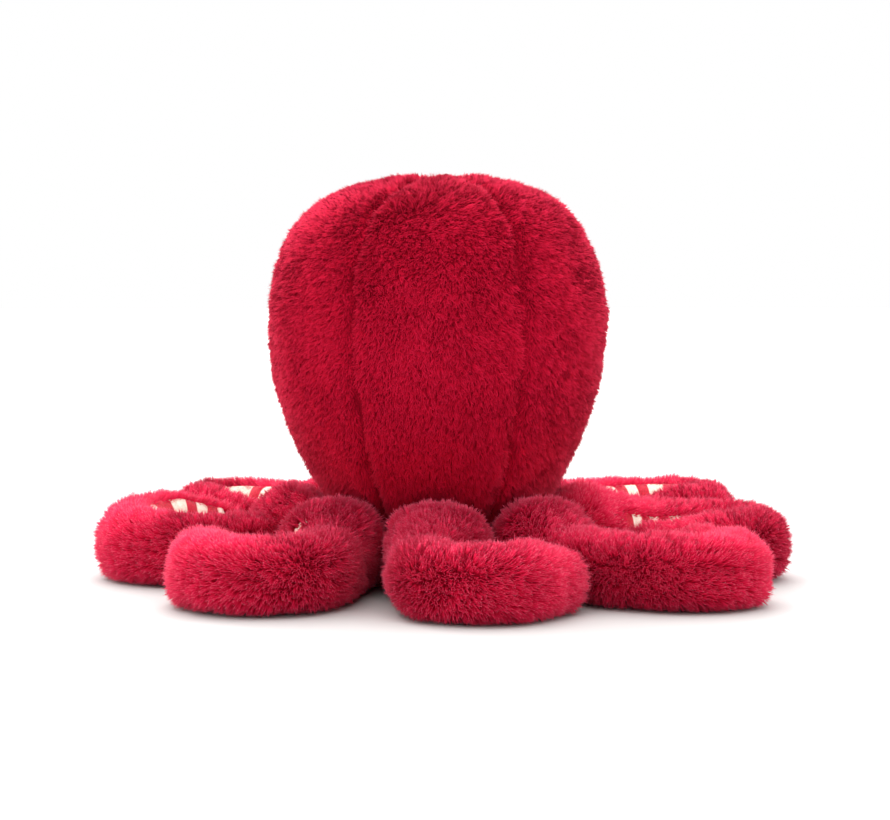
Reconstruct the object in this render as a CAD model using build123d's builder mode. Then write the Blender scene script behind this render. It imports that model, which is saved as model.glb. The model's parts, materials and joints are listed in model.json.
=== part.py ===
from build123d import *

import os
from math import asin, cos, degrees, radians, sin, sqrt

# A plush octopus that sits on a weighted base, with eight curled arms.
#
# Sizes are in millimetres and angles in degrees.  +Z is up, the toy stands on z = 0 at the
# middle of its base, and its face looks along -Y, so its back panel looks along +Y.

os.makedirs("parts", exist_ok=True)

# Fabric and fit -----------------------------------------------------------------------
fur_thickness = 3.0  # backing and pressed pile of the head and base
sleeve_thickness = 2.5  # backing and pressed pile of an arm
fill_gap = 0.5  # between a fabric panel and the stuffing behind it
seat_gap = 0.5  # between an arm's root and the body it is sewn to

# Head: a chain of tangent arcs turned about the Z axis ---------------------------------
head_radius = 83.5  # at the widest place
head_level = 126.5  # height of the widest place
flank_radius = 147.0  # arc from the widest place down to the waist
brow_radius = 97.0  # arc from the widest place up to the shoulder
brow_angle = 25.0
shoulder_radius = 48.0
crown_radius = 140.0
gore_count = 6

# Arms ----------------------------------------------------------------------------------
arm_radius = 18.0  # of the tube around its curl
root_radius = 23.0  # of the round root where it meets the body
tip_radius = 15.5
arm_spread = 4.0  # least radius of the circle of roots, in tube radii
sweep_radius = 4.2  # of the gentle bend before the curl, in tube radii
strip_angle = 92.0  # of the tube that the sucker strip covers
strip_tilt = 8.0  # the strip's middle looks this far above level
seam_angle = 1.2  # gap between the strip and the sleeve

# Each arm: where its root is, counter-clockwise from +X; the way it curls, seen from above;
# how far it leans that way from straight out; its straight run, in tube radii; the turn of
# its gentle bend; the radius of its curl, in tube radii; the turn of its curl; and the tail
# after the curl, in tube radii.
LEFT, RIGHT = 1, -1
ARMS = {
    "arm_left": (0, RIGHT, -42, 1.20, 25, 1.65, 180, 1.20),
    "arm_back_left": (45, RIGHT, -44, 1.60, 20, 1.50, 178, 0.90),
    "arm_back": (90, LEFT, -7, 2.35, 5, 1.40, 144, 1.20),
    "arm_back_right": (135, LEFT, -18, 1.25, 52, 1.13, 168, 0.80),
    "arm_right": (180, RIGHT, -24, 2.05, 20, 1.38, 180, 1.80),
    "arm_front_right": (225, RIGHT, -22, 1.10, 58, 1.15, 172, 1.40),
    "arm_front": (270, RIGHT, 5, 2.70, 5, 1.15, 170, 0.40),
    "arm_front_left": (315, LEFT, -28, 0.90, 48, 1.10, 168, 1.20),
}

# Base ----------------------------------------------------------------------------------
base_thickness = 3.0
base_overlap = 3.5  # how far the base panel reaches past the body's foot
waist_rise = 1.4  # height of the waist, in root radii
pouch_height = 18.0
pouch_wall = 1.0
pouch_corner = 5.0

# Eyes ----------------------------------------------------------------------------------
eye_radius = 6.5
eye_dome = 4.0
eye_level = 92.0
eye_bearing = 17.0  # each side of the middle of the face
shank_radius = 2.0
shank_length = 8.5
washer_radius = 8.5
washer_thickness = 2.0
shank_fit = 0.1
face_gap = 0.3  # under the eye and under its washer

# Worked out from the sizes above -------------------------------------------------------
flank_x = head_radius - flank_radius
brow_x = head_radius - brow_radius
shoulder_x = brow_x + (brow_radius - shoulder_radius) * cos(radians(brow_angle))
shoulder_z = head_level + (brow_radius - shoulder_radius) * sin(radians(brow_angle))
crown_reach = crown_radius - shoulder_radius
crown_angle = degrees(asin(shoulder_x / crown_reach))
crown_z = shoulder_z - crown_reach * cos(radians(crown_angle))
head_top = crown_z + crown_radius

# An arm's round root just clears the flank of the head and the foot below it.
seat_reach = flank_radius + root_radius + seat_gap
seat_circle = sqrt(seat_reach**2 - (head_level - root_radius) ** 2) + flank_x
root_circle = max(seat_circle, arm_spread * arm_radius)
foot_radius = root_circle - root_radius - seat_gap
waist_level = waist_rise * root_radius
waist_angle = degrees(asin((head_level - waist_level) / flank_radius))


def head_section(inset, floor, foot, bearing=0.0):
    """Half of the head's section, inset from the outside, from the floor to the top.

    It stands on the upright half plane at the bearing.
    """
    outward = Vector(1, 0).rotate(Axis.Z, bearing)
    across = outward.rotate(Axis.Z, -90)
    with BuildSketch(Plane(origin=(0, 0, 0), x_dir=outward, z_dir=across)) as section:
        with BuildLine():
            crown = CenterArc((0, crown_z), crown_radius - inset, 90 - crown_angle, crown_angle)
            CenterArc(
                (shoulder_x, shoulder_z),
                shoulder_radius - inset,
                brow_angle,
                90 - crown_angle - brow_angle,
            )
            CenterArc((brow_x, head_level), brow_radius - inset, 0, brow_angle)
            flank = CenterArc(
                (flank_x, head_level), flank_radius - inset, -waist_angle, waist_angle
            )
            Polyline(flank @ 0, (foot, root_radius), (foot, floor), (0, floor), crown @ 1)
        make_face()
    return section.sketch


def eye_plane(side, depth=0.0):
    """The plane on the face under an eye, looking out, and moved in by the depth."""
    bearing = radians(-90 + side * eye_bearing)
    drop = asin((eye_level - head_level) / flank_radius)
    reach = flank_x + flank_radius * cos(drop)
    out = Vector(cos(bearing) * cos(drop), sin(bearing) * cos(drop), sin(drop))
    spot = Vector(reach * cos(bearing), reach * sin(bearing), eye_level)
    return Plane(origin=spot - out * depth, z_dir=out)


# The lock washer lies flat behind a face that curves away from it.
washer_sag = washer_radius**2 / (2 * (head_radius - fur_thickness))
washer_depth = fur_thickness + face_gap + washer_sag
SIDES = {"left": 1, "right": -1}


# Head panels ---------------------------------------------------------------------------
GORES = ("back", "back_right", "front_right", "front", "front_left", "back_left")
gore_angle = 360 / gore_count
for number, place in enumerate(GORES):
    start = 90 - gore_angle / 2 + number * gore_angle
    outside = head_section(0, base_thickness, foot_radius, start)
    # The hollow reaches below the panel and past both its seams, to cut them clean.
    hollow = head_section(fur_thickness, 0, foot_radius - fur_thickness, start - gore_angle / 2)
    with BuildPart() as gore:
        revolve(outside, axis=Axis.Z, revolution_arc=gore_angle)
        revolve(hollow, axis=Axis.Z, revolution_arc=2 * gore_angle, mode=Mode.SUBTRACT)
        if place == "front":
            for side in SIDES.values():
                with BuildSketch(eye_plane(side, -eye_dome)):
                    Circle(shank_radius + shank_fit)
                extrude(amount=-(eye_dome + 2 * fur_thickness), mode=Mode.SUBTRACT)
    gore.part.label = "head_panel_" + place
    export_step(gore.part, "parts/" + gore.part.label + ".step")

# Base panel ----------------------------------------------------------------------------
with BuildPart() as base_panel:
    with BuildSketch():
        Circle(foot_radius + base_overlap)
    extrude(amount=base_thickness)
base_panel.part.label = "base_panel"
export_step(base_panel.part, "parts/base_panel.step")

# Bean pouch and its pellets --------------------------------------------------------------
pouch_radius = foot_radius - fur_thickness - fill_gap
pouch_floor = base_thickness + fill_gap
pouch_top = pouch_floor + pouch_height

with BuildPart() as bean_pouch:
    with BuildSketch(Plane.XY.offset(pouch_floor)):
        Circle(pouch_radius)
    extrude(amount=pouch_height)
    fillet(bean_pouch.edges().filter_by(GeomType.CIRCLE), radius=pouch_corner)
    offset(amount=-pouch_wall, mode=Mode.SUBTRACT)
bean_pouch.part.label = "bean_pouch"
export_step(bean_pouch.part, "parts/bean_pouch.step")

pellet_inset = pouch_wall + fill_gap
with BuildPart() as pellets:
    with BuildSketch(Plane.XY.offset(pouch_floor + pellet_inset)):
        Circle(pouch_radius - pellet_inset)
    extrude(amount=pouch_height - 2 * pellet_inset)
    fillet(pellets.edges().filter_by(GeomType.CIRCLE), radius=pouch_corner - pellet_inset)
pellets.part.label = "pellets"
export_step(pellets.part, "parts/pellets.step")

# Head stuffing, with a pocket around each lock washer -----------------------------------
stuffing_inset = fur_thickness + fill_gap
core = head_section(stuffing_inset, pouch_top + fill_gap, foot_radius - stuffing_inset)
with BuildPart() as head_stuffing:
    revolve(core, axis=Axis.Z)
    for side in SIDES.values():
        with BuildSketch(eye_plane(side)):
            Circle(washer_radius + fill_gap)
        extrude(amount=-(shank_length + 2 * fill_gap), mode=Mode.SUBTRACT)
head_stuffing.part.label = "head_stuffing"
export_step(head_stuffing.part, "parts/head_stuffing.step")

# Safety eyes and their lock washers -------------------------------------------------------
dome_radius = (eye_radius**2 + eye_dome**2) / (2 * eye_dome)
for name, side in SIDES.items():
    seat = eye_plane(side, -face_gap)
    with BuildPart() as eye:
        with BuildSketch(Plane(origin=seat.origin, x_dir=seat.x_dir, z_dir=-seat.y_dir)):
            with BuildLine():
                top = RadiusArc((0, eye_dome), (eye_radius, 0), dome_radius)
                Polyline(top @ 1, (shank_radius, 0), (shank_radius, -shank_length))
                Polyline((shank_radius, -shank_length), (0, -shank_length), top @ 0)
            make_face()
        revolve(axis=Axis(seat.origin, seat.z_dir))
    eye.part.label = "eye_" + name
    export_step(eye.part, "parts/" + eye.part.label + ".step")

    with BuildPart() as washer:
        with BuildSketch(eye_plane(side, washer_depth)):
            Circle(washer_radius)
            Circle(shank_radius + shank_fit, mode=Mode.SUBTRACT)
        extrude(amount=-washer_thickness)
    washer.part.label = "eye_washer_" + name
    export_step(washer.part, "parts/" + washer.part.label + ".step")


# Arms ----------------------------------------------------------------------------------
class ArmPath:
    """The middle line of an arm on the floor: run, gentle bend, curl and tail.

    Each station is a point on the line, the heading there, and the tube's radius.  The
    tube's lowest line lies on the floor all the way, so a station is as high as its radius.
    """

    def __init__(self, bearing, side, lean, run, sweep, curl_radius, curl, tail):
        unit = arm_radius
        self.side, self.sweep, self.curl = side, sweep, curl
        root = Vector(root_circle, 0).rotate(Axis.Z, bearing)
        heading = bearing + side * lean
        self.root = (root, heading, root_radius)
        point = root + Vector(run * unit, 0).rotate(Axis.Z, heading)
        self.bend_start = (point, heading, arm_radius)
        point, heading, self.bend_axis = self.turn(point, heading, sweep_radius * unit, sweep)
        self.curl_start = (point, heading, arm_radius)
        point, heading, self.curl_axis = self.turn(point, heading, curl_radius * unit, curl)
        self.curl_end = (point, heading, arm_radius)
        point = point + Vector(tail * unit, 0).rotate(Axis.Z, heading)
        self.tip = (point, heading, tip_radius)

    def turn(self, point, heading, radius, angle):
        """The end of a turn, its heading, and the upright axis it turns about."""
        centre = point + Vector(0, self.side * radius).rotate(Axis.Z, heading)
        end = centre + (point - centre).rotate(Axis.Z, self.side * angle)
        return end, heading + self.side * angle, Axis(centre, (0, 0, self.side))

    def plane(self, station):
        """The plane across the tube: x towards the inside of the curl, y up."""
        point, heading, radius = station
        inward = Vector(0, self.side).rotate(Axis.Z, heading)
        along = Vector(self.side, 0).rotate(Axis.Z, heading)
        return Plane(origin=point + Vector(0, 0, radius), x_dir=inward, z_dir=along)

    def upright(self, station):
        """The upright axis through a station, that a round end turns about."""
        return Axis(station[0], (0, 0, self.side))


def ring(path, station, depth, start, size):
    """A sector of the tube's wall across a station, down to a depth."""
    outer, inner = station[2], station[2] - depth
    with BuildSketch(path.plane(station)) as section:
        with BuildLine():
            outside = CenterArc((0, 0), outer, start, size)
            inside = CenterArc((0, 0), inner, start, size)
            Line(outside @ 0, inside @ 0)
            Line(outside @ 1, inside @ 1)
        make_face()
    return section.sketch


def disc(path, station, inset):
    """The whole round of the tube across a station, inset from its outside."""
    with BuildSketch(path.plane(station)) as section:
        Circle(station[2] - inset)
    return section.sketch


def half_disc(path, station, inset, side):
    """Half of that round: side 1 towards the inside of the curl, -1 away from it."""
    radius = station[2] - inset
    with BuildSketch(path.plane(station)) as section:
        with BuildLine():
            CenterArc((0, 0), radius, -90 if side > 0 else 90, 180)
            Line((0, -radius), (0, radius))
        make_face()
    return section.sketch


def carry(path, section):
    """Carry a section along the arm, inside the part that is being built."""
    loft([section(path.root), section(path.bend_start)], ruled=True)
    revolve(section(path.bend_start), axis=path.bend_axis, revolution_arc=path.sweep)
    revolve(section(path.curl_start), axis=path.curl_axis, revolution_arc=path.curl)
    loft([section(path.curl_end), section(path.tip)], ruled=True)


sleeve_start = strip_tilt + strip_angle / 2 + seam_angle
sleeve_size = 360 - strip_angle - 2 * seam_angle
core_inset = sleeve_thickness + fill_gap

for name, sizes in ARMS.items():
    path = ArmPath(*sizes)

    with BuildPart() as sleeve:
        carry(path, lambda at: ring(path, at, sleeve_thickness, sleeve_start, sleeve_size))
        wall = ring(path, path.root, sleeve_thickness, -90, 180)
        revolve(wall, axis=path.upright(path.root), revolution_arc=180)
        wall = ring(path, path.tip, sleeve_thickness, 90, 180)
        revolve(wall, axis=path.upright(path.tip), revolution_arc=180)
    sleeve.part.label = name + "_sleeve"
    export_step(sleeve.part, "parts/" + sleeve.part.label + ".step")

    with BuildPart() as strip:
        strip_start = strip_tilt - strip_angle / 2
        carry(path, lambda at: ring(path, at, sleeve_thickness, strip_start, strip_angle))
    strip.part.label = name + "_sucker_strip"
    export_step(strip.part, "parts/" + strip.part.label + ".step")

    with BuildPart() as stuffing:
        carry(path, lambda at: disc(path, at, core_inset))
        root_half = half_disc(path, path.root, core_inset, 1)
        revolve(root_half, axis=path.upright(path.root), revolution_arc=180)
        tip_half = half_disc(path, path.tip, core_inset, -1)
        revolve(tip_half, axis=path.upright(path.tip), revolution_arc=180)
    stuffing.part.label = name + "_stuffing"
    export_step(stuffing.part, "parts/" + stuffing.part.label + ".step")

print("head top", round(head_top, 2), "circle of roots", round(root_circle, 2))
print("foot radius", round(foot_radius, 2))
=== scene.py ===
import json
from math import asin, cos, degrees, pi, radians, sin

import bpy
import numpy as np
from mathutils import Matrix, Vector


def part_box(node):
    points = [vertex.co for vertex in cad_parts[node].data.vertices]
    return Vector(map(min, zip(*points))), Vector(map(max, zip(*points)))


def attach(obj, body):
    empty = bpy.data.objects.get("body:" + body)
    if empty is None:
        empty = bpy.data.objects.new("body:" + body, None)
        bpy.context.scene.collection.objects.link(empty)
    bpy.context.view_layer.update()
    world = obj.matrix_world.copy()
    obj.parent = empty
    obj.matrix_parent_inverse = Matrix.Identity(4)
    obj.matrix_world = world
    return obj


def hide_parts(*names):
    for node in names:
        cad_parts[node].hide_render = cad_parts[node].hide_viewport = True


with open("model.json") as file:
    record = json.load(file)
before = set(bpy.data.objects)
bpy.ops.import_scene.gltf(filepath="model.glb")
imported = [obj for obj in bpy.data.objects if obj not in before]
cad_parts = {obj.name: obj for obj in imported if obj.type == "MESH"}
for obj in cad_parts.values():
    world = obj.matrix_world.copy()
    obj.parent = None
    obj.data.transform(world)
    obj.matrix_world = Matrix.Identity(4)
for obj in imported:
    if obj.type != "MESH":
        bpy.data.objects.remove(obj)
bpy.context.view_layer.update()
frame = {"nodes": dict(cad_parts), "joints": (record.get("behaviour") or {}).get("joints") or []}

# %% [markdown]
# A plush octopus is sewn from long-pile fabric and stuffed.  Its looks are nearly all pile:
# thousands of soft fibres that stand on a woven backing, lean the way the cloth was
# stroked, and gather into small tufts whose gaps show the darker roots.
#
# Blender can grow hair on a surface, but hair isn't a mesh, so it would be lost outside
# Blender.  Here the backing itself is the mesh, cut into small triangles, and each
# triangle is drawn out into one fine tapering fibre.  The surface stays closed.

MM = 0.001
JOINTS = {joint["name"]: joint for joint in frame["joints"]}

# %% [markdown]
# Nothing on a real fabric is even, so most steps need chance.  Both helpers below work
# it out from a place in space, so that it is the same on every run and has no seam.


# %% Chance that is tied to a place
def hashed(cells, seed):
    """A number from 0 to 1 for each cell: primes and shifts mix its three whole numbers."""
    mixed = (cells * np.array((73856093, 19349663, 83492791))).sum(-1) + seed * 15485863
    mixed = ((mixed ^ (mixed >> 13)) * 1274126177) & 0xFFFFFFFF
    mixed = ((mixed ^ (mixed >> 15)) * 374761393) & 0xFFFFFFFF
    return (mixed ^ (mixed >> 16)) / 0xFFFFFFFF


def noise(points, grain, seed):
    """Smooth noise from -1 to 1.

    Space is cut into cubes of the grain's size, and the numbers at a cube's eight corners
    are blended by the smoothed place of the point between them.
    """
    place = points / grain
    cell = np.floor(place).astype(np.int64)
    part = place - cell
    part = part * part * (3 - 2 * part)
    total = 0
    for corner in np.ndindex(2, 2, 2):
        weight = np.where(corner, part, 1 - part).prod(-1)
        total = total + weight * hashed(cell + np.array(corner), seed)
    return total * 2 - 1


def tufts(points, spacing, seed):
    """The middle of each point's tuft, and a number from 0 to 1 that is the tuft's own.

    One middle is scattered in each cube of the spacing, and a point joins the nearest.
    """
    cell = np.floor(points / spacing).astype(np.int64)
    nearest = np.full(len(points), np.inf)
    middle, own = np.zeros_like(points), np.zeros(len(points))
    for step in np.ndindex(3, 3, 3):
        near = cell + np.array(step) - 1
        scatter = np.stack([hashed(near, seed + 1 + axis) for axis in range(3)], -1)
        at = (near + scatter) * spacing
        apart = ((at - points) ** 2).sum(-1)
        closer = apart < nearest
        nearest = np.where(closer, apart, nearest)
        middle = np.where(closer[:, None], at, middle)
        own = np.where(closer, hashed(near, seed), own)
    return middle, own


def unit(vectors):
    """The vectors at length one."""
    return vectors / np.maximum(np.linalg.norm(vectors, axis=-1, keepdims=True), 1e-12)


# %% [markdown]
# A surface starts as a grid of points.  Its normals come from the grid itself: the cross
# product of the differences along its two directions.


# %% Grids, triangles and meshes
def grid_normals(grid, wrap):
    """The unit normal at each point: the cross product of the grid's two slopes there."""
    down = np.gradient(grid, axis=0)
    if wrap:
        across = (np.roll(grid, -1, 1) - np.roll(grid, 1, 1)) / 2
    else:
        across = np.gradient(grid, axis=1)
    return unit(np.cross(across, down))


def grid_triangles(rows, columns, wrap):
    """Each cell's two triangles, with the cut's direction alternating like a draught board."""
    index = np.arange(rows * columns).reshape(rows, columns)
    if wrap:
        index = np.concatenate([index, index[:, :1]], 1)
    a, b, c, d = index[:-1, :-1], index[:-1, 1:], index[1:, 1:], index[1:, :-1]
    odd = (np.add.outer(np.arange(a.shape[0]), np.arange(a.shape[1])) % 2 == 1)[..., None]
    first = np.where(odd, np.stack([a, b, d], -1), np.stack([a, b, c], -1))
    second = np.where(odd, np.stack([b, c, d], -1), np.stack([a, c, d], -1))
    return np.concatenate([first.reshape(-1, 3), second.reshape(-1, 3)])


def close_ends(points, faces, rows, columns):
    """Points and triangles with a fan added over the small hole at each end of the grid."""
    first, last = np.arange(columns), np.arange(columns) + (rows - 1) * columns
    poles = np.stack([points[first].mean(0), points[last].mean(0)])
    n = len(points)
    fans = [
        np.stack([np.roll(first, -1), first, np.full(columns, n)], -1),
        np.stack([last, np.roll(last, -1), np.full(columns, n + 1)], -1),
    ]
    return np.concatenate([points, poles]), np.concatenate([faces, *fans])


def make_piece(name, points, triangles, material, uv=None, normals=None):
    """A mesh object from whole arrays of points and triangles."""
    mesh = bpy.data.meshes.new(name)
    mesh.vertices.add(len(points))
    mesh.vertices.foreach_set("co", points.astype(np.float32).ravel())
    mesh.loops.add(triangles.size)
    mesh.loops.foreach_set("vertex_index", triangles.astype(np.int32).ravel())
    mesh.polygons.add(len(triangles))
    mesh.polygons.foreach_set("loop_start", np.arange(0, triangles.size, 3, dtype=np.int32))
    mesh.update(calc_edges=True)
    mesh.validate()
    if uv is not None:
        layer = mesh.uv_layers.new(name="OFBake", do_init=False)
        layer.uv.foreach_set("vector", uv[triangles.ravel()].astype(np.float32).ravel())
    mesh.shade_smooth()
    if normals is not None:
        mesh.normals_split_custom_set_from_vertices(normals.astype(np.float32))
    mesh.materials.append(material)
    piece = bpy.data.objects.new(name, mesh)
    bpy.context.scene.collection.objects.link(piece)
    return piece


# %% [markdown]
# The pile.  A fibre starts from its triangle on the backing and ends in a tip.  The tip
# is one fibre length away, between straight out and the way the pile lies, and is drawn
# towards the middle of its tuft.  Where the cloth rests on the floor the pile is pressed
# flat, so no tip goes below it.


# %% Growing the pile
FLOOR_CLEARANCE = 0.3 * MM
SHORTEST_GROWTH = 0.12  # backing with less pile than this share is left bare
NAP_SWIRL, NAP_GRAIN = 38, 30 * MM  # how far stroking turned the nap, and over what distance
TUFT_SWIRL, FIBRE_SWIRL = 60, 24  # how far a tuft and a fibre turn on their own
LEAN_GRAIN, LENGTH_GRAIN, SHADE_GRAIN = 9 * MM, 7 * MM, 26 * MM
LONG_PILE = {  # on the arms
    "length": 5.9 * MM,
    "lean": 30,  # degrees from straight out
    "lean_spread": 24,
    "tuft": 2.9 * MM,
    "gather": 0.52,  # how far a tip is drawn to the middle of its tuft
    "cell": 0.38 * MM * MM,  # backing that one fibre covers
    "bloom": 1.0,  # how far up the colours the tips reach
    "shade": 0.76,  # how fresh the dye is on the whole, and painted light: set fresher here than on the head
}
SHORT_PILE = {  # on the head and the base
    "length": 4.0 * MM,
    "lean": 44,
    "lean_spread": 24,
    "tuft": 2.6 * MM,
    "gather": 0.7,
    "cell": 0.47 * MM * MM,
    # The head's lower bloom and shade are painted shade: the same cloth is set darker here.
    "bloom": 0.78,
    "shade": 0.2,
}


def grow_pile(grid, lay, style, seed, wrap=False, growth=None):
    """Points, triangles, normals and map of a backing with its fibres drawn out.

    grid is the backing, lay the way its pile lies at each point, and growth from 0 to 1
    how long the pile is there.  A fibre's tip is: the triangle's middle, plus its length
    times (cosine of the lean x normal + sine of the lean x lay), plus a share of the way
    to the tuft's middle along the surface.  The map's u is the fibre's shade, with painted
    light on tips that face up, and its v runs from root to tip.
    """
    rng = np.random.default_rng(seed)
    rows, columns = grid.shape[:2]
    normal = grid_normals(grid, wrap).reshape(-1, 3)
    points, lay = grid.reshape(-1, 3), lay.reshape(-1, 3)
    growth = np.ones(len(points)) if growth is None else growth.ravel()
    triangles = grid_triangles(rows, columns, wrap)

    corners = points[triangles]
    area = np.linalg.norm(
        np.cross(corners[:, 1] - corners[:, 0], corners[:, 2] - corners[:, 0]), axis=-1
    ) / 2
    long_enough = growth[triangles].mean(1)
    beneath = np.where(normal[triangles].mean(1)[:, 2] < -0.7, 0.5, 1)  # thinner, out of sight
    share = area / style["cell"] * 1.15 * beneath
    chosen = (rng.random(len(triangles)) < share) & (long_enough > SHORTEST_GROWTH)
    grown, bare = triangles[chosen], triangles[~chosen]
    long_enough = long_enough[chosen]

    root = points[grown].mean(1)
    out = unit(normal[grown].mean(1))
    along = unit(lay[grown].mean(1))
    side = np.cross(out, along)
    middle, own = tufts(root, style["tuft"], seed)
    swirl = radians(NAP_SWIRL) * noise(root, NAP_GRAIN, 3) + radians(TUFT_SWIRL) * (own - 0.5)
    swirl = swirl + radians(FIBRE_SWIRL) * rng.standard_normal(len(root))
    along = along * np.cos(swirl)[:, None] + side * np.sin(swirl)[:, None]
    lean = radians(style["lean"]) + radians(style["lean_spread"]) * (
        0.6 * noise(root, LEAN_GRAIN, 5) + 0.5 * rng.standard_normal(len(root))
    )
    length = style["length"] * long_enough * (
        0.84 + 0.30 * own + 0.26 * noise(root, LENGTH_GRAIN, 7)
        + 0.10 * rng.standard_normal(len(root))
    )
    stand = out * np.cos(lean)[:, None] + along * np.sin(lean)[:, None]
    to_middle = middle - root
    to_middle -= (to_middle * out).sum(-1, keepdims=True) * out
    tip = root + length[:, None] * stand + style["gather"] * long_enough[:, None] * to_middle
    tip[:, 2] = np.maximum(tip[:, 2], FLOOR_CLEARANCE * (1 + 2 * rng.random(len(tip))))

    first_tip = len(points)
    tips = np.arange(first_tip, first_tip + len(tip))
    sides = [np.stack([grown[:, k], grown[:, (k + 1) % 3], tips], -1) for k in range(3)]
    faces = np.concatenate([bare, *sides])
    shade = 0.5 + 0.16 * noise(points, NAP_GRAIN, 11) + 0.10 * rng.standard_normal(len(points))
    # The style's shade sets this pile lighter on the arms and darker on the head, as painted
    # light and shade.
    tip_shade = (
        style["shade"] + 0.24 * np.maximum(out[:, 2], 0)  # painted light: tips that face up are paler
        + 0.11 * noise(root, SHADE_GRAIN, 11) + 0.46 * (own - 0.5)
        + 0.14 * rng.standard_normal(len(root))
    )
    map_u = np.clip(np.concatenate([shade, tip_shade]), 0.02, 0.98)
    # Short pile, as in a parting, stops lower on the colours, nearer the root: painted shade, as
    # pile that stands low out of the light.
    reach = 0.3 + 0.7 * np.minimum(long_enough, 1)
    tip_place = style["bloom"] * (0.92 + 0.08 * rng.random(len(root))) * reach
    map_v = np.concatenate([0.02 + 0.08 * rng.random(len(points)), tip_place])
    normals = np.concatenate([normal, unit(out + 0.35 * stand)])
    return np.concatenate([points, tip]), faces, normals, np.stack([map_u, map_v], -1)


# %% [markdown]
# Finishes.  Each one starts from what the real cloth or plastic is.  Colours are written
# as they look on a screen and turned to the linear values that light adds up in.


# %% Colours and nodes
def linear(code):
    """An sRGB hex colour as linear red, green, blue and alpha."""
    srgb = np.array([int(code[k : k + 2], 16) / 255 for k in (1, 3, 5)])
    low, high = srgb / 12.92, ((srgb + 0.055) / 1.055) ** 2.4
    return (*np.where(srgb <= 0.04045, low, high).tolist(), 1.0)


def add_node(tree, kind, settings=None, **inputs):
    """Adds a node: settings are its properties, inputs its sockets' values or links."""
    node = tree.nodes.new("ShaderNode" + kind)
    for name, value in (settings or {}).items():
        setattr(node, name, value)
    for name, value in inputs.items():
        socket = node.inputs[int(name[1:]) if name[0] == "_" else name.replace("_", " ")]
        if isinstance(value, bpy.types.NodeSocket):
            tree.links.new(value, socket)
        else:
            socket.default_value = value
    return node


def new_material(name):
    """A material with nodes, its tree and its Principled shader."""
    material = bpy.data.materials.new(name)
    material.use_nodes = True
    tree = material.node_tree
    return material, tree, tree.nodes["Principled BSDF"]


def ramp(tree, factor, *stops):
    """A colour ramp through (place, hex colour) stops."""
    node = add_node(tree, "ValToRGB", Fac=factor)
    elements = node.color_ramp.elements
    elements[0].position, elements[0].color = stops[0][0], linear(stops[0][1])
    elements[1].position, elements[1].color = stops[-1][0], linear(stops[-1][1])
    for place, code in stops[1:-1]:
        elements.new(place).color = linear(code)
    return node.outputs["Color"]


# %% Long polyester pile, dyed crimson
def plush_pile():
    """Knitted polyester plush, dyed in the piece.

    Along each fibre the colour runs from a near-black red at the root, painted shade where
    light hardly reaches among the fibres, to a paler pink at the fine tips, painted light for
    the light that they scatter.  The whole cloth has the soft bright edge of velvet.
    The map gives the place on a fibre, and how fresh or dull it is: partly the dye's tone,
    partly painted light, paler on tips that face up and on the arms, darker on the head.
    """
    material, tree, shader = new_material("polyester_plush_crimson")
    place = add_node(tree, "UVMap", {"uv_map": "OFBake"})
    split = add_node(tree, "SeparateXYZ", Vector=place.outputs["UV"])
    # Painted shade and light: both ramps run from a dark root to a pale pink tip.
    dull_and_shaded, fresh_and_lit = (
        ramp(tree, split.outputs["Y"], *zip((0, 0.4, 0.8, 1), colours))
        for colours in (
            ("#5A0313", "#AA0824", "#D01238", "#F04C70"),
            ("#960822", "#E0123C", "#F82C58", "#FF90A8"),
        )
    )
    blend = add_node(
        tree, "Mix", {"data_type": "RGBA"}, Factor=split.outputs["X"], _6=dull_and_shaded, _7=fresh_and_lit
    )
    tree.links.new(blend.outputs[2], shader.inputs["Base Color"])
    shader.inputs["Roughness"].default_value = 0.85
    shader.inputs["Specular IOR Level"].default_value = 0.04
    shader.inputs["Sheen Weight"].default_value = 0.75
    shader.inputs["Sheen Roughness"].default_value = 0.4
    shader.inputs["Sheen Tint"].default_value = linear("#FF5C78")
    return material


def loose_cloth(name, dark, light, scale, depth):
    """Fibre or woven cloth: a fine pattern in its colour and its relief."""
    material, tree, shader = new_material(name)
    place = add_node(tree, "TexCoord")
    grain = add_node(tree, "TexNoise", Vector=place.outputs["Object"], Scale=scale, Detail=5.0)
    colour = ramp(tree, grain.outputs["Fac"], (0.35, dark), (0.65, light))
    bump = add_node(tree, "Bump", Height=grain.outputs["Fac"], Strength=0.8, Distance=depth)
    tree.links.new(colour, shader.inputs["Base Color"])
    tree.links.new(bump.outputs["Normal"], shader.inputs["Normal"])
    shader.inputs["Roughness"].default_value = 0.95
    return material


PLUSH = plush_pile()
FIBRE = loose_cloth("hollow_polyester_fibre", "#D6D6D2", "#F6F6F4", 260.0, 1.0 * MM)

# %% [markdown]
# The head is six gores, the melon-slice panels of a sewn ball.  Its section is a chain of
# arcs that run into each other, turned about the upright axis.  Each seam pulls the cloth
# in, and the pile parts there into small dark gaps.

# %% The head's section
HEAD_LEVEL = 126.5 * MM  # height of the widest place
FLANK_RADIUS = 147 * MM  # below it
BROW_RADIUS, BROW_ANGLE = 97 * MM, 25  # above it
SHOULDER_RADIUS = 48 * MM
CROWN_RADIUS = 140 * MM
SEAT_GAP = 0.5 * MM  # between an arm's root and the foot that it is sewn to
FOOT_FLOOR = 4 * MM  # the panels start above the base's pile
POLE_HOLE = 0.8 * MM  # the grids stop this short of the top, and are closed there
head_radius = max(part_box("head_panel_front_left")[1][0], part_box("head_panel_back_left")[1][0])
root_radius = JOINTS["arm_left_lift"]["pos_m"][2]
foot_radius = JOINTS["arm_left_lift"]["pos_m"][0] - root_radius - SEAT_GAP


def arc(centre, radius, start, end, spacing=0.5 * MM):
    """Points on an arc: its centre plus the radius towards each angle."""
    steps = max(int(abs(radians(end - start)) * radius / spacing), 2)
    angle = np.radians(np.linspace(start, end, steps))
    return np.array(centre) + radius * np.stack([np.cos(angle), np.sin(angle)], -1)


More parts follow.
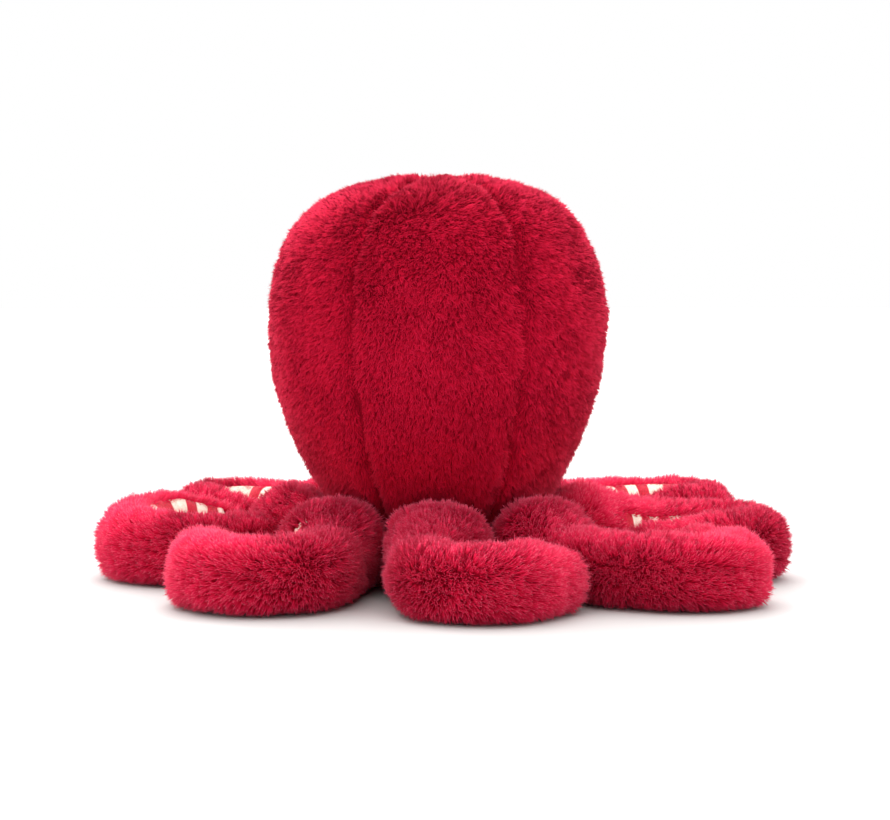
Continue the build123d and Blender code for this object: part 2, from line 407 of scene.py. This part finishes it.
def head_profile():
    """The section's points, from the foot to the crown, as distance from the axis and height."""
    flank = (head_radius - FLANK_RADIUS, HEAD_LEVEL)
    brow = (head_radius - BROW_RADIUS, HEAD_LEVEL)
    rise = BROW_RADIUS - SHOULDER_RADIUS
    shoulder = (
        brow[0] + rise * cos(radians(BROW_ANGLE)),
        brow[1] + rise * sin(radians(BROW_ANGLE)),
    )
    reach = CROWN_RADIUS - SHOULDER_RADIUS
    crown_angle = degrees(asin(shoulder[0] / reach))
    crown = (0, shoulder[1] - reach * cos(radians(crown_angle)))
    waist = degrees(asin((HEAD_LEVEL - 1.4 * root_radius) / FLANK_RADIUS))
    foot = np.linspace((foot_radius, FOOT_FLOOR), (foot_radius, root_radius), 30)
    return np.concatenate([
        foot,
        arc(flank, FLANK_RADIUS, -waist, 0),
        arc(brow, BROW_RADIUS, 0, BROW_ANGLE)[1:],
        arc(shoulder, SHOULDER_RADIUS, BROW_ANGLE, 90 - crown_angle)[1:],
        arc(crown, CROWN_RADIUS, 90 - crown_angle, 90)[1:],
    ])


profile = head_profile()
head_top = profile[-1, 1]
step = np.linalg.norm(np.diff(profile, axis=0), axis=1)
travelled = np.concatenate([[0], np.cumsum(step)])
print("head section:", round(travelled[-1] / MM, 1), "mm from foot to crown")

# %% Head panels
GORES = ("back", "back_right", "front_right", "front", "front_left", "back_left")
GORE_ANGLE = 360 / len(GORES)
HEAD_PILE_DEPTH = 2.6 * MM  # the backing lies this far inside the pile's surface
LINING_STEP = 8  # the lining has one column for each eight of the outside
SEAM_DEPTH, SEAM_WIDTH = 1.7 * MM, 3.6 * MM
SEAM_WANDER, WANDER_GRAIN = 1.5 * MM, 11 * MM  # how far a seam strays, and how quickly
WANDER_CALM = 20 * MM  # a seam strays less this near to the head's axis
HEAD_TILT, TILT_START = 2.2 * MM, 140 * MM  # the crown leans to one side, from this height up
SEAM_PILE = 2.8 * MM  # the pile is short this near to a seam
PARTING_STRAY, STRAY_GRAIN = 1.3 * MM, 7 * MM  # how far the parting's edge strays
PARTING_GRAIN = 6 * MM  # and over what distance it opens and closes
CROWN_REACH = 14 * MM  # the pile is shorter this near to the top
HEAD_LUMP, HEAD_LUMP_GRAIN = 0.9 * MM, 34 * MM  # unevenness of the filling
LINING_DEPTH = HEAD_PILE_DEPTH + 0.9 * MM


def gore_surface(start, depth, rows, columns):
    """A gore's grid at a depth: the section turned about Z, sunk towards both seams.

    The seam's valley is its depth times exp(-(distance from the seam / its width)^2).
    Each seam wanders with the height, and both of its panels take the same wander.
    """
    s = np.linspace(0, travelled[-1] - POLE_HOLE, rows)
    radius = np.interp(s, travelled, profile[:, 0])
    height = np.interp(s, travelled, profile[:, 1])
    slope = unit(np.stack([np.gradient(radius), np.gradient(height)], -1))
    turn = np.radians(np.linspace(start, start + GORE_ANGLE, columns))
    edge = np.minimum(turn - turn[0], turn[-1] - turn)
    seam = SEAM_DEPTH * np.exp(-((np.outer(radius, edge) / SEAM_WIDTH) ** 2))
    inset = (depth + seam) * np.clip(radius / (6 * MM), 0.3, 1)[:, None]
    r = np.maximum(radius[:, None] - inset * slope[:, 1:], 0.5 * MM)
    z = height[:, None] + inset * slope[:, :1]
    wander = [
        SEAM_WANDER * noise(np.stack([0 * s, 0 * s + seam % 360, s], -1), WANDER_GRAIN, 27)
        for seam in (start, start + GORE_ANGLE)
    ]
    share = np.linspace(0, 1, columns)
    stray = np.outer(wander[0], 1 - share) + np.outer(wander[1], share)
    turn = turn + stray / np.maximum(radius, WANDER_CALM)[:, None]
    over = HEAD_TILT * np.clip((z - TILT_START) / (head_top - TILT_START), 0, 1) ** 2
    grid = np.stack([r * np.cos(turn) - over, r * np.sin(turn), z], -1)
    return grid, np.outer(radius, edge)


def close_gore(points, faces, rows, columns, lining):
    """Joins the lining to the outside along the four edges, so that the panel is closed."""
    outer = np.arange(rows * columns).reshape(rows, columns)
    base = len(points)
    inner_columns = lining.shape[1]
    inner = base + np.arange(rows * inner_columns).reshape(rows, inner_columns)
    flat = grid_triangles(rows, inner_columns, False)[:, ::-1] + base
    walls = []
    sides = (outer[:, 0], inner[:, 0], 1), (outer[:, -1], inner[:, -1], -1)
    for out_edge, in_edge, turn in sides:
        quads = np.stack([out_edge[:-1], out_edge[1:], in_edge[1:], in_edge[:-1]], -1)[:, ::turn]
        walls += [quads[:, [0, 1, 2]], quads[:, [0, 2, 3]]]
    for out_edge, in_edge, turn in ((outer[0], inner[0], -1), (outer[-1], inner[-1], 1)):
        nearest = (np.arange(columns - 1) + LINING_STEP // 2) // LINING_STEP
        fan = np.stack([out_edge[:-1], out_edge[1:], in_edge[nearest]], -1)
        change = np.flatnonzero(np.diff(nearest))
        corners = out_edge[change + 1], in_edge[nearest[change + 1]], in_edge[nearest[change]]
        link = np.stack(corners, -1)
        walls += [fan[:, ::turn], link[:, ::turn]]
    return np.concatenate([points, lining.reshape(-1, 3)]), np.concatenate([faces, flat, *walls])


def head_panel(number, place):
    """One gore: pile outside, which is shorter at the crown and parted in places at the
    seams, and lining inside.
    """
    rows, columns = 244, 96 + 1
    start = 90 - GORE_ANGLE / 2 + number * GORE_ANGLE
    grid, from_seam = gore_surface(start, HEAD_PILE_DEPTH, rows, columns)
    stray = np.maximum(from_seam + PARTING_STRAY * noise(grid, STRAY_GRAIN, 25), 0)
    near = np.exp(-((stray / SEAM_PILE) ** 2))
    bumps = HEAD_LUMP * noise(grid, HEAD_LUMP_GRAIN, 21) * (1 - near)
    grid += grid_normals(grid, False) * bumps[..., None]
    lay = -unit(np.gradient(grid, axis=0))
    top = np.clip((travelled[-1] - np.linspace(0, travelled[-1], rows)) / CROWN_REACH, 0, 1)
    parted = 0.5 + 0.6 * noise(grid, PARTING_GRAIN, 23)
    growth = (1 - near * np.clip(parted, 0.05, 1)) * (0.6 + 0.4 * top)[:, None]
    points, faces, normals, uv = grow_pile(grid, lay, SHORT_PILE, 100 + number, growth=growth)
    print(place, len(faces), "faces of pile")
    lining = gore_surface(start, LINING_DEPTH, rows, columns)[0][:, ::LINING_STEP]
    closed, faces = close_gore(points, faces, rows, columns, lining)
    extra = len(closed) - len(points)
    normals = np.concatenate([normals, -grid_normals(lining, False).reshape(-1, 3)])
    scatter = 0.02 * np.random.default_rng(1).random((extra, 2))
    uv = np.concatenate([uv, np.array((0.3, 0.05)) + scatter])  # the lining takes a root's dark colour, painted shade
    piece = make_piece("plush_head_" + place, closed, faces, PLUSH, uv, normals)
    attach(piece, "body")
    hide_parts("head_panel_" + place)
    return len(faces)


total = sum(head_panel(number, place) for number, place in enumerate(GORES))
print("head panels:", total, "triangles")

# %% Head stuffing
STUFFING_DEPTH = 6.0 * MM  # clear of the seams' valleys and of the eyes' washers
FILL_LUMP, FILL_GRAIN = 0.8 * MM, 12 * MM


def head_stuffing():
    """The fibre inside: the head's section at a depth, turned all the way round."""
    bottom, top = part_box("head_stuffing")[0][2], travelled[-1] - POLE_HOLE
    s = np.linspace(travelled[profile[:, 1] >= bottom + STUFFING_DEPTH][0], top, 72)
    radius = np.interp(s, travelled, profile[:, 0])
    height = np.interp(s, travelled, profile[:, 1])
    slope = unit(np.stack([np.gradient(radius), np.gradient(height)], -1))
    radius = np.maximum(radius - STUFFING_DEPTH * slope[:, 1], 0.5 * MM)
    height = height + STUFFING_DEPTH * slope[:, 0]
    turn = np.linspace(0, 2 * pi, 120, endpoint=False)
    out = np.stack([np.cos(turn), np.sin(turn)], -1)
    grid = np.concatenate([
        radius[:, None, None] * out,
        np.broadcast_to(height[:, None, None], (len(s), len(turn), 1)),
    ], -1)
    lumps = FILL_LUMP * noise(grid, FILL_GRAIN, 51)
    grid += grid_normals(grid, True) * (lumps - FILL_LUMP)[..., None]
    rows, columns = grid.shape[:2]
    faces = grid_triangles(rows, columns, True)
    points, faces = close_ends(grid.reshape(-1, 3), faces, rows, columns)
    piece = make_piece("head_fibre_fill", points, faces, FIBRE)
    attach(piece, "body")
    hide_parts("head_stuffing")
    return len(faces)


print("head stuffing:", head_stuffing(), "triangles")

# %% [markdown]
# An arm is a stuffed tube of the same cloth.  Its middle line lies on the floor: a short
# run out of the body, a gentle bend, a curl and a tail.  The inside of the curl carries a
# striped strip, its suckers, so the pile grows on the rest of the tube only.

# %% The arms' middle lines
ARM_RADIUS, TIP_RADIUS = 18 * MM, 15.5 * MM
BEND_RADIUS = 4.2 * ARM_RADIUS
STRIP_ANGLE, STRIP_TILT = 92, 8  # the strip's share of the tube, and its middle above level
STRIP_START = 10 * MM  # the root's pile hides the strip up to here

# The way each arm curls, seen from above; how far it leans that way from straight out; its
# run, the turn of its bend, the radius and turn of its curl, and its tail.  Lengths are in
# tube radii and angles in degrees.  Then how far the pile hangs over its strip, in degrees
# of the tube, or parts from it where the number is negative, and how full the tube is at
# its root, the start of its bend, the end of its curl and its tip.
LEFT, RIGHT = 1, -1
ARMS = {
    "arm_left": (RIGHT, -42, 1.05, 25, 1.60, 180, 1.20, -16, (1.06, 0.86, 1.3, 1.25)),
    "arm_back_left": (RIGHT, -44, 1.60, 20, 1.50, 178, 0.90, 0, (1, 1.04, 1, 0.95)),
    "arm_back": (LEFT, -7, 2.35, 5, 1.40, 144, 1.20, 20, (1, 0.98, 0.98, 1.02)),
    "arm_back_right": (LEFT, -18, 1.25, 52, 1.13, 168, 0.80, 26, (1.04, 0.95, 0.9, 0.95)),
    "arm_right": (RIGHT, -24, 2.05, 20, 1.38, 180, 1.80, 10, (1.05, 1.08, 1, 0.97)),
    "arm_front_right": (RIGHT, -22, 1.20, 58, 1.22, 172, 1.40, -14, (1.05, 1.12, 1.15, 1.05)),
    "arm_front": (RIGHT, 5, 2.70, 5, 1.15, 170, 0.40, 0, (1, 1, 1, 1)),
    "arm_front_left": (LEFT, -28, 0.90, 48, 1.10, 168, 1.20, -14, (1.12, 1.12, 1.05, 1)),
}


class MiddleLine:
    """An arm's middle line as arrays over its length: place, heading and tube radius."""

    def __init__(self, arm, spacing=0.45 * MM):
        self.side, lean, run, bend, curl_radius, curl, tail, self.cover, full = ARMS[arm]
        x, y, self.root_height = JOINTS[arm + "_lift"]["pos_m"]
        bearing = degrees(np.arctan2(y, x))
        legs = (  # length and turn of each leg
            (run * ARM_RADIUS, 0),
            (BEND_RADIUS * radians(bend), bend),
            (curl_radius * ARM_RADIUS * radians(curl), curl),
            (tail * ARM_RADIUS, 0),
        )
        ends = np.cumsum([0] + [length for length, turn in legs])
        self.s = np.linspace(0, ends[-1], int(ends[-1] / spacing))
        turned = np.cumsum([0] + [turn for length, turn in legs])
        turned = self.side * (lean + np.interp(self.s, ends, turned))
        self.heading = np.radians(bearing + turned)
        step = self.s[1]
        across = (self.heading[1:] + self.heading[:-1]) / 2
        self.x = x + step * np.concatenate([[0], np.cumsum(np.cos(across))])
        self.y = y + step * np.concatenate([[0], np.cumsum(np.sin(across))])
        self.radius = np.interp(
            self.s, [0, ends[1], ends[3], ends[4]],
            [self.root_height, ARM_RADIUS, ARM_RADIUS, TIP_RADIUS],
        )
        self.full = np.interp(self.s, [0, ends[1], ends[3], ends[4]], full)

    def grid(self, s, forward, inward, up):
        """Points from lengths s, and how far forward, inward and up each one is from there.

        Inward is a quarter turn from the heading, to the side that the arm curls to.
        """
        x, y, heading, radius, full = (
            np.interp(s, self.s, value)[:, None]
            for value in (self.x, self.y, self.heading, self.radius, self.full)
        )
        inward = inward * self.side
        return np.stack([
            x + forward * np.cos(heading) - inward * np.sin(heading),
            y + forward * np.sin(heading) + inward * np.cos(heading),
            radius + np.where(up > 0, up * full, up),
        ], -1)


# %% Arm sleeves
ARM_PILE_DEPTH = 5.0 * MM
ROUND, SAG = 2.2, 3.0  # a ring's power above its middle and below it; 2 is a circle
FLOOR_REACH = 3.0 * MM  # how much nearer the floor the backing sinks under its load
ROOT_SWELL, ROOT_REACH = 0.22, 24 * MM  # the roots press against each other and widen
STRIP_SINK = 1.5 * MM  # the backing is lower under the strip
STRIP_FADE = 6 * MM  # over what length the pile makes way for the strip
BACKING_CLEARANCE = 0.8 * MM  # between the backing and the floor
ARM_LUMP, ARM_LUMP_GRAIN = 0.9 * MM, 21 * MM


def arm_surface(line, columns, spacing, depth):
    """The backing's grid: rings along the line, which shrink to a round end at each end.

    A ring of a round end is the tube's ring scaled by the cosine of its angle past the
    end and moved along by the sine.  A ring is a superellipse: round above, and squarer
    below, where the stuffing sags and the floor presses it flat.
    """
    end = np.arcsin(np.linspace(-0.999, 0, int(line.radius[0] * 1.35 / spacing)))
    middle = np.arange(spacing, line.s[-1], spacing)
    tip = np.arcsin(np.linspace(0, 0.999, int(line.radius[-1] * 1.35 / spacing)))
    s = np.concatenate([np.zeros(len(end)), middle, np.full(len(tip), line.s[-1])])
    past = np.concatenate([end, np.zeros(len(middle)), tip])
    radius = np.interp(s, line.s, line.radius)
    around = np.linspace(0, 2 * pi, columns, endpoint=False)
    wide = ((radius - depth) * np.cos(past))[:, None]
    across, up = np.cos(around), np.sin(around)
    square = np.where(up < 0, SAG, ROUND)
    rounded = (np.abs(across) ** square + np.abs(up) ** square) ** (-1 / square)
    swell = 1 + ROOT_SWELL * np.exp(-((s / ROOT_REACH) ** 2))[:, None]
    inward = wide * across * rounded * swell
    up = wide * up * rounded
    forward = ((radius - depth) * np.sin(past))[:, None]
    up = np.where(up > 0, up, up * (1 + FLOOR_REACH / radius[:, None]))
    grid = line.grid(s, forward, inward, up)
    # A right-hand arm's grid is mirrored, so its rings are turned to keep it facing out.
    return (grid if line.side > 0 else grid[:, ::-1]), s, past, around[:: line.side]


def strip_sector(line):
    """The middle of the strip's visible sector and half its width, in radians."""
    half = (STRIP_ANGLE - line.cover) / 2
    return radians(STRIP_TILT - line.cover / 2), radians(half)


def in_strip(line, s, past, around, spread=0):
    """How far inside the strip's sector each point is: 1 well inside, 0 outside."""
    middle, half = strip_sector(line)
    off = np.abs((around - middle + pi) % (2 * pi) - pi)
    begun = np.clip((s - STRIP_START) / STRIP_FADE, 0, 1) * (past < 0.35)
    return np.clip((half + radians(spread) - off) / radians(8), 0, 1)[None] * begun[:, None]


def arm_sleeve(arm, number):
    """One arm's pile, which stands for its sleeve and its stuffing."""
    line = MiddleLine(arm)
    columns, spacing = 116, 0.86 * MM
    grid, s, past, around = arm_surface(line, columns, spacing, ARM_PILE_DEPTH)
    rows = len(grid)
    normal = grid_normals(grid, True)
    bumps = ARM_LUMP * noise(grid, ARM_LUMP_GRAIN, 31)
    sunk = in_strip(line, s, past, around)
    grid = grid + normal * (bumps - STRIP_SINK * sunk)[..., None]
    grid[..., 2] = np.maximum(grid[..., 2], BACKING_CLEARANCE)
    lay = unit(np.gradient(grid, axis=0))
    growth = 1 - in_strip(line, s, past, around, -3)
    points, faces, normals, uv = grow_pile(grid, lay, LONG_PILE, 200 + number, True, growth)
    points, faces = close_ends(points, faces, rows, columns)
    normals = np.concatenate([normals, normal[[0, -1], 0]])
    uv = np.concatenate([uv, [(0.45, 0.05), (0.55, 0.05)]])
    piece = make_piece("plush_" + arm, points, faces, PLUSH, uv, normals)
    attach(piece, arm)
    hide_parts(arm + "_sleeve", arm + "_stuffing")
    return len(faces)


total = sum(arm_sleeve(arm, number) for number, arm in enumerate(ARMS))
print("arm sleeves:", total, "triangles")

# %% [markdown]
# The suckers are a strip of short velour, red and cream by turns, let into the inside of
# each arm.  The bands are measured along the strip's own surface, not along the arm, so
# that they stay as wide inside a tight curl as on the straight, as cut cloth does.

# %% Sucker strips
BAND_PAIR = 11 * MM  # one red and one cream band
STRIP_THICKNESS = 2.4 * MM
STRIP_DEPTH = 3.0 * MM  # of the strip's middle, so that the pile beside it stands over it
STRIP_PUFF = 0.7 * MM  # how far a band swells between its two stitch lines
STRIP_NAP, STRIP_NAP_GRAIN = 0.15 * MM, 1.6 * MM


def striped_velour():
    """Clipped velour in two colours, sewn band to band.

    The clipped pile is matt and even, with a faint nap.
    """
    material, tree, shader = new_material("clipped_velour_red_and_cream")
    band = add_node(tree, "Attribute", {"attribute_name": "band"})
    wave = add_node(tree, "Math", {"operation": "SINE"}, _0=band.outputs["Fac"])
    edge = add_node(
        tree, "MapRange", {"interpolation_type": "SMOOTHSTEP"},
        Value=wave.outputs[0], From_Min=-0.12, From_Max=0.12,
    )
    place = add_node(tree, "TexCoord")
    nap = add_node(tree, "TexNoise", Vector=place.outputs["Object"], Scale=900.0, Detail=3.0)
    red = ramp(tree, nap.outputs["Fac"], (0.3, "#A80C26"), (0.7, "#D3173A"))
    cream = ramp(tree, nap.outputs["Fac"], (0.3, "#DCCBB6"), (0.7, "#F8EEDF"))
    blend = add_node(
        tree, "Mix", {"data_type": "RGBA"}, Factor=edge.outputs[0], _6=red, _7=cream
    )
    bump = add_node(tree, "Bump", Height=nap.outputs["Fac"], Strength=0.5, Distance=0.3 * MM)
    tree.links.new(blend.outputs[2], shader.inputs["Base Color"])
    tree.links.new(bump.outputs["Normal"], shader.inputs["Normal"])
    shader.inputs["Roughness"].default_value = 0.9
    shader.inputs["Specular IOR Level"].default_value = 0.2
    shader.inputs["Sheen Weight"].default_value = 0.3
    return material


VELOUR = striped_velour()


def sucker_strip(arm):
    """One arm's strip: a flat oval section carried along the inside of the tube.

    Round the section, the angle swings across the strip with the cosine and the depth
    with the sine.  Each band swells by its puff times the sine of its own width.
    """
    line = MiddleLine(arm)
    s = np.linspace(STRIP_START, line.s[-1], int(line.s[-1] / (1.0 * MM)))
    heading, radius = np.interp(s, line.s, line.heading), np.interp(s, line.s, line.radius)
    squeeze = 1 - line.side * np.gradient(heading, s) * radius * cos(radians(STRIP_TILT))
    travel = np.cumsum(np.maximum(squeeze, 0.05)) * (s[1] - s[0])
    phase = travel / BAND_PAIR * 2 * pi
    turn = np.linspace(0, 2 * pi, 36, endpoint=False)
    across = np.sign(np.cos(turn)) * np.abs(np.cos(turn)) ** 0.6
    middle, half = strip_sector(line)
    angle = middle - (half - radians(1)) * across
    puff = STRIP_PUFF * (np.abs(np.sin(phase)) ** 0.5 - 0.5)[:, None]
    swell = puff * np.clip(np.sin(turn), 0, 1)
    depth = STRIP_DEPTH - STRIP_THICKNESS / 2 * np.sin(turn) - swell
    reach = radius[:, None] - depth
    grid = line.grid(s, 0, reach * np.cos(angle), reach * np.sin(angle))[:, :: line.side]
    grid += unit(np.cross(np.gradient(grid, axis=0), np.roll(grid, -1, 1) - grid)) * (
        STRIP_NAP * noise(grid, STRIP_NAP_GRAIN, 41)[..., None]
    )
    rows, columns = grid.shape[:2]
    faces = grid_triangles(rows, columns, True)
    points, faces = close_ends(grid.reshape(-1, 3), faces, rows, columns)
    piece = make_piece("striped_strip_" + arm, points, faces, VELOUR)
    band = piece.data.attributes.new("band", "FLOAT", "POINT")
    values = np.concatenate([np.repeat(phase, columns), phase[[0, -1]]])
    band.data.foreach_set("value", values.astype(np.float32))
    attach(piece, arm)
    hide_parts(arm + "_sucker_strip")
    return travel[-1]


lengths = [sucker_strip(arm) for arm in ARMS]
print("strip surfaces, mm long:", [round(length / MM) for length in lengths])

# %% [markdown]
# The base is a disc of the same plush, sewn to the foot.  The toy sits on it, so its pile
# is pressed flat underneath and shows only at the rim.

# %% Base
base_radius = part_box("base_panel")[1][0]
BASE_FLOOR = 1.2 * MM  # the backing's height over the floor, under the pressed pile


def base_section():
    """From the middle of the underside, out round the rim, and in again on top."""
    edge = 3 * MM
    flat = np.linspace((0.4 * MM, BASE_FLOOR), (base_radius - edge, BASE_FLOOR), 30)
    rim = arc((base_radius - edge, BASE_FLOOR + edge), edge, -90, 90, 1.2 * MM)[1:]
    inside = (base_radius - 9 * MM, 6 * MM)
    top = np.linspace((base_radius - edge, BASE_FLOOR + 2 * edge), inside, 6)[1:]
    return np.concatenate([flat, rim, top])


def base():
    """The base's pile, which lies outwards from the middle."""
    section = base_section()
    turn = np.linspace(0, 2 * pi, 150, endpoint=False)
    out = np.stack([np.cos(turn), np.sin(turn)], -1)
    grid = np.concatenate([
        section[:, :1, None] * out,
        np.broadcast_to(section[:, 1:, None], (len(section), len(turn), 1)),
    ], -1)
    rows, columns = grid.shape[:2]
    lay = unit(np.gradient(grid, axis=0))
    growth = np.full((rows, columns), 0.5)
    points, faces, normals, uv = grow_pile(grid, lay, SHORT_PILE, 300, True, growth)
    points, faces = close_ends(points, faces, rows, columns)
    normals = np.concatenate([normals, [(0, 0, -1), (0, 0, 1)]])
    uv = np.concatenate([uv, [(0.45, 0.05), (0.55, 0.05)]])
    piece = make_piece("plush_base", points, faces, PLUSH, uv, normals)
    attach(piece, "body")
    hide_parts("base_panel")
    return len(faces)


print("base:", base(), "triangles")

# %% [markdown]
# What is inside, and the eyes, keep the shapes they were made with and only need their
# finishes.


# %% Finishes of the eyes and of what is inside
def plain_plastic(name, colour, roughness, speckle):
    """Moulded plastic: an even colour with a faint unevenness in its gloss."""
    material, tree, shader = new_material(name)
    place = add_node(tree, "TexCoord")
    grain = add_node(tree, "TexNoise", Vector=place.outputs["Object"], Scale=speckle, Detail=2.0)
    rough = add_node(
        tree, "MapRange", Value=grain.outputs["Fac"],
        To_Min=roughness * 0.85, To_Max=roughness * 1.15,
    )
    tree.links.new(rough.outputs[0], shader.inputs["Roughness"])
    shader.inputs["Base Color"].default_value = linear(colour)
    return material, shader


acrylic, shader = plain_plastic("polished_black_acrylic", "#050506", 0.06, 60.0)
shader.inputs["IOR"].default_value = 1.49
shader.inputs["Coat Weight"].default_value = 1.0
shader.inputs["Coat Roughness"].default_value = 0.03
nylon, shader = plain_plastic("moulded_nylon_natural", "#E8E4D8", 0.5, 300.0)
cotton = loose_cloth("plain_woven_cotton", "#C9C2B2", "#E6E0D2", 1500.0, 0.2 * MM)
beads = loose_cloth("polypropylene_pellets", "#BDBDB8", "#F0F0EC", 330.0, 1.5 * MM)

INSIDE = {
    "eye_left": acrylic, "eye_right": acrylic,
    "eye_washer_left": nylon, "eye_washer_right": nylon,
    "bean_pouch": cotton, "pellets": beads,
}
for name, finish in INSIDE.items():
    for slot in frame["nodes"][name].material_slots:
        slot.material = finish
print("finished inside pieces:", len(INSIDE))

# %% Camera
CAMERA_DISTANCE, CAMERA_RISE = 1.35, radians(8.2)
eye = Vector((0, CAMERA_DISTANCE * cos(CAMERA_RISE), CAMERA_DISTANCE * sin(CAMERA_RISE)))
aim = Vector((-0.00375, -0.0118, 0.0820))
camera = bpy.data.objects.new("camera", bpy.data.cameras.new("camera"))
camera.location = eye
camera.rotation_euler = (aim - eye).to_track_quat("-Z", "Y").to_euler()
camera.data.lens, camera.data.sensor_width = 109.2, 36
bpy.context.scene.collection.objects.link(camera)
bpy.context.scene.camera = camera

# %% Floor and light
material, tree, shader = new_material("pale_paper")
shader.inputs["Base Color"].default_value = linear("#B8B5B4")
shader.inputs["Roughness"].default_value = 0.9
side = 3.0
corners = np.array([(-side, -side, 0), (side, -side, 0), (side, side, 0), (-side, side, 0)])
floor = make_piece("floor", corners, np.array([(0, 1, 2), (0, 2, 3)]), material)

world = bpy.data.worlds.new("studio")
bpy.context.scene.world = world
world.use_nodes = True
world.node_tree.nodes["Background"].inputs["Color"].default_value = (1, 1, 1, 1)
world.node_tree.nodes["Background"].inputs["Strength"].default_value = 1.0


def soft_light(name, place, strength, spread):
    """Light from a far diffuser that is as wide as its spread, so it falls evenly all over."""
    light = bpy.data.lights.new(name, "SUN")
    light.energy, light.angle = strength, radians(spread)
    lamp = bpy.data.objects.new(name, light)
    lamp.location = place
    lamp.rotation_euler = (-Vector(place)).to_track_quat("-Z", "Y").to_euler()
    bpy.context.scene.collection.objects.link(lamp)


soft_light("overhead", (0, -0.25, 1.0), 3.0, 70)
soft_light("left", (1.0, -0.1, 0.45), 1.6, 80)
soft_light("right", (-1.0, -0.25, 0.45), 1.3, 70)
soft_light("back", (0.3, -1.0, 0.6), 3.2, 60)
soft_light("front", (0.2, 1.0, 0.12), 0.2, 60)
bpy.context.scene.view_settings.view_transform = "Standard"
